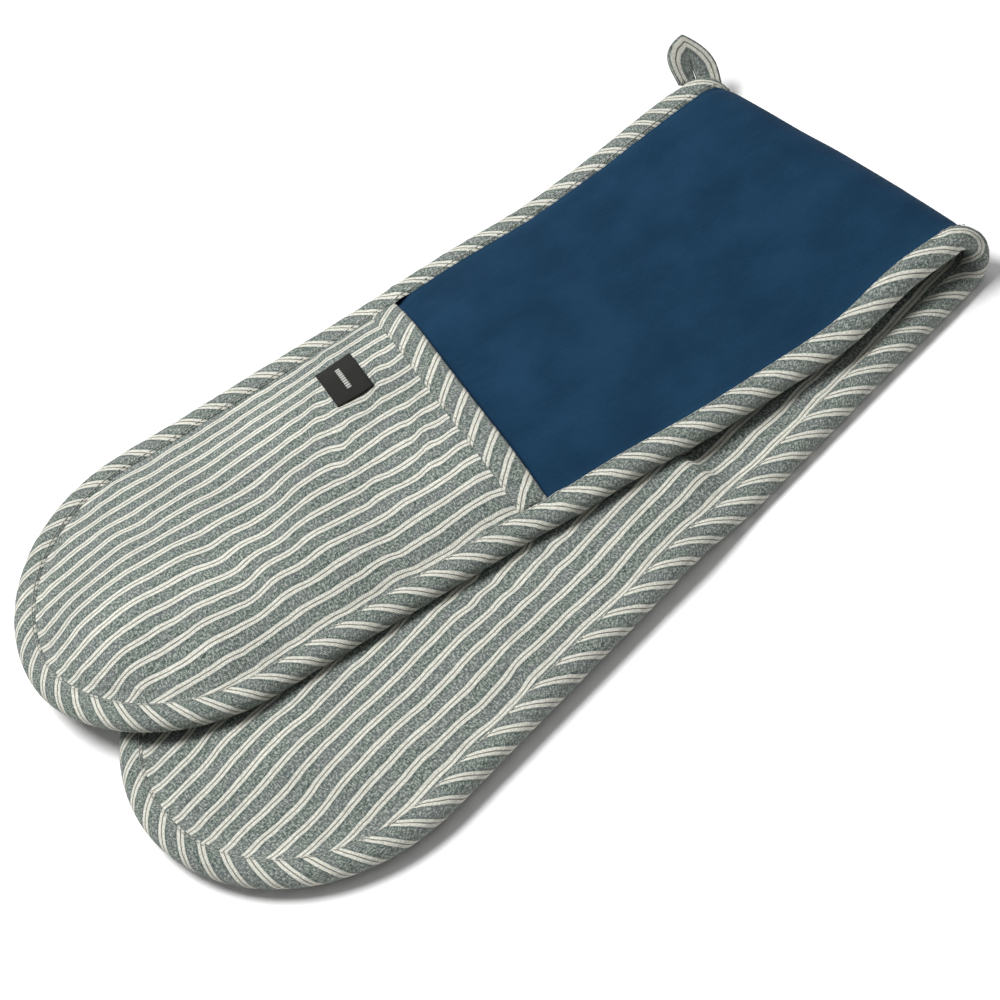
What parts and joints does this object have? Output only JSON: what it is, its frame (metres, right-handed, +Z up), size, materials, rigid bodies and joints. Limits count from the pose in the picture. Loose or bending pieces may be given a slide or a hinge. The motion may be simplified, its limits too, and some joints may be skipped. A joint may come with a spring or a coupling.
{
  "type": "double oven glove",
  "caption": "Quilted double oven glove folded in half: padded strip with rounded ends, hand pockets, bound edges, woven label and hanging loop.",
  "frame": {"origin": "middle of the underside of the folded glove's box, on the surface it lies on", "axes": "+X towards the fold, so the two rounded ends point to -X; +Y towards the edge with the hanging loop; +Z up"},
  "size_m": [0.4428, 0.2804, 0.0337],
  "materials": {
    "striped_cloth": "matte woven cotton chambray with paired cream stripes",
    "navy_cloth": "matte brushed cotton",
    "wadding": "matte felted wadding",
    "lining": "matte plain cotton",
    "striped_binding": "matte bias-cut striped cotton",
    "woven_label": "satin woven polyester"
  },
  "bodies": {
    "lower_half": {"lower_back_cloth": "striped_cloth", "lower_wadding": "wadding", "lower_front_panel": "navy_cloth", "lower_edge_binding": "striped_binding", "lower_pocket_lining": "lining", "lower_pocket_wadding": "wadding", "lower_pocket_cloth": "striped_cloth", "lower_mouth_binding": "striped_binding"},
    "fold_slice_1": {"fold_slice_1_back_cloth": "striped_cloth", "fold_slice_1_wadding": "wadding", "fold_slice_1_front_panel": "navy_cloth", "fold_slice_1_binding_far": "striped_binding", "fold_slice_1_binding_near": "striped_binding"},
    "fold_slice_2": {"fold_slice_2_back_cloth": "striped_cloth", "fold_slice_2_wadding": "wadding", "fold_slice_2_front_panel": "navy_cloth", "fold_slice_2_binding_far": "striped_binding", "fold_slice_2_binding_near": "striped_binding"},
    "fold_slice_3": {"fold_slice_3_back_cloth": "striped_cloth", "fold_slice_3_wadding": "wadding", "fold_slice_3_front_panel": "navy_cloth", "fold_slice_3_binding_far": "striped_binding", "fold_slice_3_binding_near": "striped_binding"},
    "upper_half": {"upper_back_cloth": "striped_cloth", "upper_wadding": "wadding", "upper_front_panel": "navy_cloth", "upper_edge_binding": "striped_binding", "upper_pocket_lining": "lining", "upper_pocket_wadding": "wadding", "upper_pocket_cloth": "striped_cloth", "upper_mouth_binding": "striped_binding", "upper_label": "woven_label"},
    "loop": {"hanging_loop": "striped_binding"}
  },
  "joints": [
    {"name": "fold_1", "type": "hinge", "parent": "lower_half", "child": "fold_slice_1", "pos_m": [0.21056, 0, 0.0009], "axis": [0, 1, 0], "range_deg": [0, 44]},
    {"name": "fold_2", "type": "hinge", "parent": "fold_slice_1", "child": "fold_slice_2", "pos_m": [0.21911, 0, 0.00946], "axis": [0, 1, 0], "range_deg": [0, 44]},
    {"name": "fold_3", "type": "hinge", "parent": "fold_slice_2", "child": "fold_slice_3", "pos_m": [0.21911, 0, 0.02155], "axis": [0, 1, 0], "range_deg": [0, 44]},
    {"name": "fold_4", "type": "hinge", "parent": "fold_slice_3", "child": "upper_half", "pos_m": [0.21056, 0, 0.0301], "axis": [0, 1, 0], "range_deg": [0, 44]},
    {"name": "loop_flop", "type": "hinge", "parent": "upper_half", "child": "loop", "pos_m": [0.20692, 0.0966, 0.02054], "axis": [-0.8112, 0.114, 0.5736], "range_deg": [-55, 90], "stiffness_Nm_per_rad": 0.003}
  ]
}
